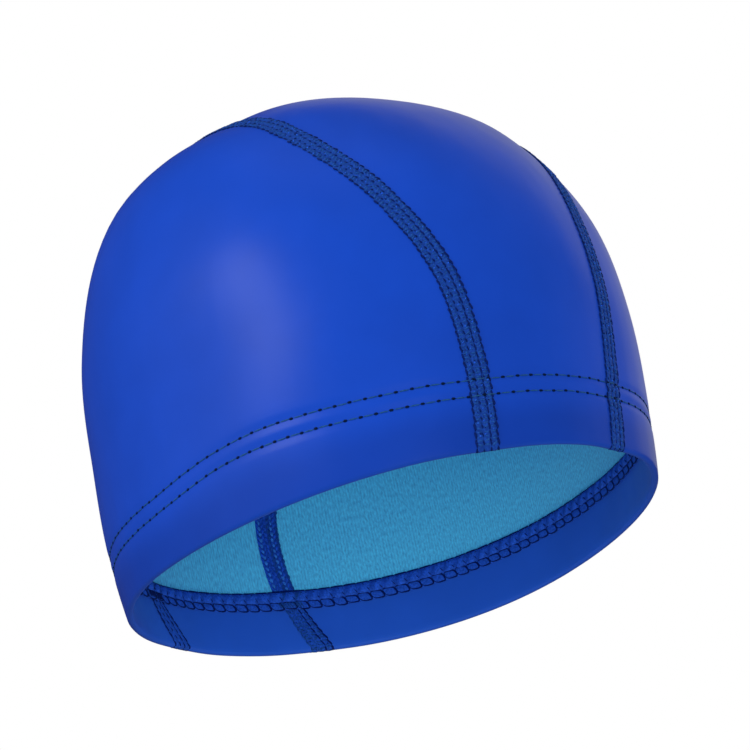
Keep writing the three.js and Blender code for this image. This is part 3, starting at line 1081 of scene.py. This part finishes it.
def hem_ring(context, name, section, material, steps, puffs):
    """A closed band round the inside of the hem, from its section's heights, depths and puffs, with painted
    shade in the creases between the puffs.
    """
    form = form_of(context)
    bm = bmesh.new()
    flat_grid(bm, steps, len(section))
    flat = places(bm)
    corner = np.rint(flat[:, 1] * len(section)).astype(int) % len(section)
    height, depth, puff = np.array(section)[corner].T
    swell = np.abs(np.sin(math.pi * (flat[:, 0] * puffs - 0.25 + 80 * (height - section[0][0]))))
    depth = depth + puff * (swell**0.7 - 0.5)
    azimuth, _ = form.hem_azimuth(flat[:, 0])
    proud_of_hem = depth > form.hem_depth
    rise = OVER_SEAM_RISE * form.over_seams(azimuth, height, OVER_SEAM_INSIDE)
    depth = depth + np.where(proud_of_hem, rise, 0)
    put(bm, form.lift(form.wall_point(azimuth, height, depth)))
    # Painted shade on the band: the hem share is 0 in the creases between puffs, 1 on the puff tops and 0.7
    # where there are no puffs.
    puff_light_and_shade = bm.verts.layers.float.new("hem")
    for vert, share in zip(bm.verts, np.where(puff > 0, swell, 0.7)):
        vert[puff_light_and_shade] = share
    close_up(bm)
    return finished(bm, name, [material])


# Where a seam passes under the cover band: each tier's start and rise above the band's edge, and its lean.
CROSS_TIERS = ((0.0003, 0.0026, 0.0015), (0.0031, 0.0032, -0.0015))
CROSS_COUNT = 9
CROSS_PITCH = 0.00095


def cross_stitches(form, side, way, low):
    """The dense slanting stitches where a seam passes under the cover band, in two tiers."""
    seam_middle = form.seam_place(side, np.array([way]), 0.0, 0.0)[0]
    azimuth = math.atan2(seam_middle[1], seam_middle[0])
    reach = math.hypot(seam_middle[0], seam_middle[1])
    shown = 0 if side == RIGHT else 1
    tiers = []
    for start, rise, lean in CROSS_TIERS:

        def stroke(index, share):
            place = (index - CROSS_COUNT // 2) * CROSS_PITCH
            along = place + lean * (share - 0.5) + 0.0002 * scatter(index, 2)
            return stack(along, low + start + rise * share, 0.00095 + 0.00012 * arch(share))

        bm, flat = stitch_row(CROSS_COUNT, stroke, 0.00026, 0.00016)
        spot = form.wall_point(azimuth + flat[:, 0] / reach, flat[:, 1], form.hem_depth + flat[:, 2])
        tiers.append(laid(bm, form.lift(spot), shown))
    return tiers


class SWIMCAP_OT_cover_stitch(bpy.types.Operator):
    """Sews the band of cover stitching over the hem's raw edge, inside the rim"""

    bl_idname = "swim_cap.cover_stitch"
    bl_label = "Cover stitching"

    def execute(self, context):
        form = form_of(context)
        colours = colours_of(context)
        hem = form.hem_depth
        low = form.lower_row - 0.0007
        top = form.hem_top + 0.0015
        section = [
            (low, hem - 0.0002, 0),
            (low, hem + 0.0002, 0),
            (low + 0.0003, hem + 0.0004, 0),
            (low + 0.0023, hem + 0.0005, 0),
            (low + 0.0026, hem + 0.0003, 0),
            (low + 0.0029, hem + 0.0006, 0.0006),
            (low + 0.004, hem + 0.0008, 0.0009),
            (top - 0.0016, hem + 0.00075, 0.0009),
            (top - 0.0006, hem + 0.00045, 0.0006),
            (top - 0.0001, hem - 0.0002, 0),
            (top, hem - 0.0009, 0),
            (top, form.wall + 0.0001, 0),
            (form.hem_top + 0.0003, form.wall + 0.0001, 0),
            (form.hem_top + 0.0003, hem - 0.0002, 0),
        ]
        rim, count = hem_stitches(context, form)
        pitch = rim / count
        # The band is painted from the crease colour, as painted shade in its creases, to its own colour on
        # the puff tops.
        crease, puffed = tuple(colours.cover_crease_shade), tuple(colours.cover_bed)
        bed = material_of("cover bed", thread_finish, "cover bed", crease, puffed)
        band = hem_ring(context, "cover_band", section, bed, 8 * count, count)
        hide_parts("hem_cover_stitch")
        parts = []

        def sew(path, width, height, lengthwise, slot_index=0, **shape):
            bm, flat = stitch_row(count, path, width, height, lengthwise, **shape)
            flat[:, 0] /= rim
            parts.append(laid(bm, hem_inside(form, flat), slot_index))

        def link(index, share):
            turn = 2 * math.pi * share
            ahead = np.sign(np.cos(turn)) * np.abs(np.cos(turn)) ** 0.55
            upward = np.sign(np.sin(turn)) * np.abs(np.sin(turn)) ** 0.7
            height = 0.00142 * upward * (1 + 0.12 * scatter(index, 3))
            middle = (index + 0.5 + 0.02 * scatter(index, 4)) * pitch
            way = middle + 0.47 * pitch * ahead + 0.5 * height
            return stack(way, low + 0.0014 + height, 0.0005 + 0.0001 * ahead)

        # A dark thread along the band's top edge: partly the thread there and partly painted shadow of the
        # gap between the band and the lining.
        def edge_thread_and_shadow(index, share):
            way = (index - 0.03 + 1.06 * share) * pitch
            height = top + 0.0001 + 0.00006 * scatter(index, 6) + 0 * share
            return stack(way, height, -0.00045 + 0.0001 * arch(share))

        def chevron(index, share, lean):
            way = (index + 0.25 + 0.25 * lean * (2 * share - 1) + 0.03 * scatter(index, 8)) * pitch
            rise = 0.00095 - 0.0004 * np.abs(share - 0.45) + 0.00003 * lean
            return stack(way, low + 0.0031 + 0.0032 * share, rise)

        sew(link, 0.00024, 0.00019, 16, ring_swell=0.62)
        sew(edge_thread_and_shadow, 0.0003, 0.00036, 8, taper=14)
        sew(partial(chevron, lean=-1), 0.0002, 0.0002, 6, 1)
        sew(partial(chevron, lean=1), 0.0002, 0.0002, 6)
        for side in (LEFT, RIGHT):
            for way in (0.002, form.seam_length(side) - 0.002):
                parts.extend(cross_stitches(form, side, way, low))
        finishes = [thread(colours, "needle thread"), thread(colours, "looper thread")]
        loops = finished(gather(parts), "cover_loops", finishes)
        return {"FINISHED"}


class SWIMCAP_OT_stage(bpy.types.Operator):
    """Sets up the pale floor, the soft lights and the camera at the photograph's angle"""

    bl_idname = "swim_cap.stage"
    bl_label = "Stage"

    def execute(self, context):
        scene = context.scene
        scene.view_settings.view_transform = "Standard"
        world = bpy.data.worlds.new("studio")
        world.use_nodes = True
        tree = world.node_tree
        soft = tree.nodes["Background"]
        soft.inputs["Color"].default_value = (1, 1, 1, 1)
        ray = tree.nodes.new("ShaderNodeLightPath")
        strength = tree.nodes.new("ShaderNodeMapRange")
        strength.inputs["To Min"].default_value = STUDIO_LIGHT
        strength.inputs["To Max"].default_value = 1
        tree.links.new(ray.outputs["Is Camera Ray"], strength.inputs["Value"])
        tree.links.new(strength.outputs["Result"], soft.inputs["Strength"])
        world.cycles_visibility.glossy = False
        scene.world = world
        bm = bmesh.new()
        bmesh.ops.create_grid(bm, x_segments=1, y_segments=1, size=FLOOR_SIZE)
        bmesh.ops.translate(bm, verts=bm.verts, vec=(0, 0, FLOOR_HEIGHT))
        mesh = bpy.data.meshes.new("floor")
        bm.to_mesh(mesh)
        bm.free()
        floor = bpy.data.objects.new("floor", mesh)
        scene.collection.objects.link(floor)
        pale, _, shader = principled("pale floor", (0.85, 0.85, 0.85), 0.8)
        shader.inputs["Emission Color"].default_value = (1, 1, 1, 1)
        shader.inputs["Emission Strength"].default_value = 0.6
        mesh.materials.append(pale)
        floor.visible_diffuse = False
        floor.visible_glossy = False
        add_light(scene, "key light", 3, 24, 1.2, 0.32, 4.2)
        add_light(scene, "back light", -158, 33, LIGHT_DISTANCE, 1.3, 3.2)
        for name, azimuth, elevation, size, power in SOFT_LIGHTS:
            soft_light = add_light(scene, name, azimuth, elevation, LIGHT_DISTANCE, size, power)
            soft_light.visible_glossy = False
        add_camera(scene)
        return {"FINISHED"}


STUDIO_LIGHT = 0.5
FLOOR_SIZE = 20
FLOOR_HEIGHT = -1.1
LIGHT_DISTANCE = 1.4

# Lights without a reflection: name, azimuth, elevation, size and power.
SOFT_LIGHTS = (
    ("front light", 58, -18, 0.9, 9.3),
    ("left light", -25, 12, 0.9, 3.2),
    ("right light", 160, 0, 0.9, 5.2),
    ("top light", 40, 75, 0.9, 3.6),
)
CAMERA_AZIMUTH = math.radians(53.57)
CAMERA_ELEVATION = math.radians(-20.38)
CAMERA_ROLL = math.radians(-11.95)
CAMERA_DISTANCE = 0.95447
CAMERA_LENS = 142.1
CAMERA_SENSOR = 36
CAMERA_AIM_HEIGHT = 0.07
CAMERA_ASIDE = 0.00921
CAMERA_UP = -0.00562


def direction(azimuth, elevation):
    """From the cap towards a side and a height. The azimuth is counted from -Y towards +X."""
    flat = math.cos(elevation)
    return Vector((math.sin(azimuth) * flat, -math.cos(azimuth) * flat, math.sin(elevation)))


def add_light(scene, name, azimuth, elevation, distance, size, power):
    """A square soft light that looks at the cap from a side and a height, in degrees."""
    back = direction(math.radians(azimuth), math.radians(elevation))
    data = bpy.data.lights.new(name, "AREA")
    data.size = size
    data.energy = power
    light = bpy.data.objects.new(name, data)
    light.rotation_euler = back.to_track_quat("Z", "Y").to_euler()
    light.location = Vector((0, 0, CAMERA_AIM_HEIGHT)) + back * distance
    scene.collection.objects.link(light)
    return light


def add_camera(scene):
    back = direction(CAMERA_AZIMUTH, CAMERA_ELEVATION)
    level = Vector((0, 0, 1)).cross(back).normalized()
    upright = back.cross(level)
    right = level * math.cos(CAMERA_ROLL) + upright * math.sin(CAMERA_ROLL)
    up = upright * math.cos(CAMERA_ROLL) - level * math.sin(CAMERA_ROLL)
    aim = Vector((0, 0, CAMERA_AIM_HEIGHT)) + right * CAMERA_ASIDE + up * CAMERA_UP
    data = bpy.data.cameras.new("camera")
    data.sensor_fit = "HORIZONTAL"
    data.sensor_width = CAMERA_SENSOR
    data.lens = CAMERA_LENS
    camera = bpy.data.objects.new("camera", data)
    turn = Matrix((right, up, back)).transposed().to_4x4()
    camera.matrix_world = Matrix.Translation(aim + back * CAMERA_DISTANCE) @ turn
    scene.collection.objects.link(camera)
    scene.camera = camera


class SWIMCAP_PT_panel(bpy.types.Panel):
    """Lists the cap's sizes, colours and steps"""

    bl_idname = "SWIMCAP_PT_panel"
    bl_label = "Swim Cap"
    bl_space_type = "VIEW_3D"
    bl_region_type = "UI"
    bl_category = "Swim Cap"

    def draw(self, context):
        for group in (sizes_of(context), colours_of(context)):
            box = self.layout.box()
            for name in group.bl_rna.properties.keys():
                if name not in {"rna_type", "name"}:
                    box.prop(group, name)
        for step in STEPS:
            self.layout.operator(step.bl_idname)


STEPS = (SWIMCAP_OT_panels, SWIMCAP_OT_seams, SWIMCAP_OT_hem_rows, SWIMCAP_OT_cover_stitch, SWIMCAP_OT_stage)
CLASSES = (CapSizes, CapColours, *STEPS, SWIMCAP_PT_panel)


def register():
    for each in CLASSES:
        bpy.utils.register_class(each)
    bpy.types.Scene.swim_cap_sizes = bpy.props.PointerProperty(type=CapSizes)
    bpy.types.Scene.swim_cap_colours = bpy.props.PointerProperty(type=CapColours)


def unregister():
    del bpy.types.Scene.swim_cap_colours
    del bpy.types.Scene.swim_cap_sizes
    for each in reversed(CLASSES):
        bpy.utils.unregister_class(each)


def main():
    register()
    bpy.ops.swim_cap.panels()
    bpy.ops.swim_cap.seams()
    bpy.ops.swim_cap.hem_rows()
    bpy.ops.swim_cap.cover_stitch()
    bpy.ops.swim_cap.stage()


if __name__ == "__main__":
    main()
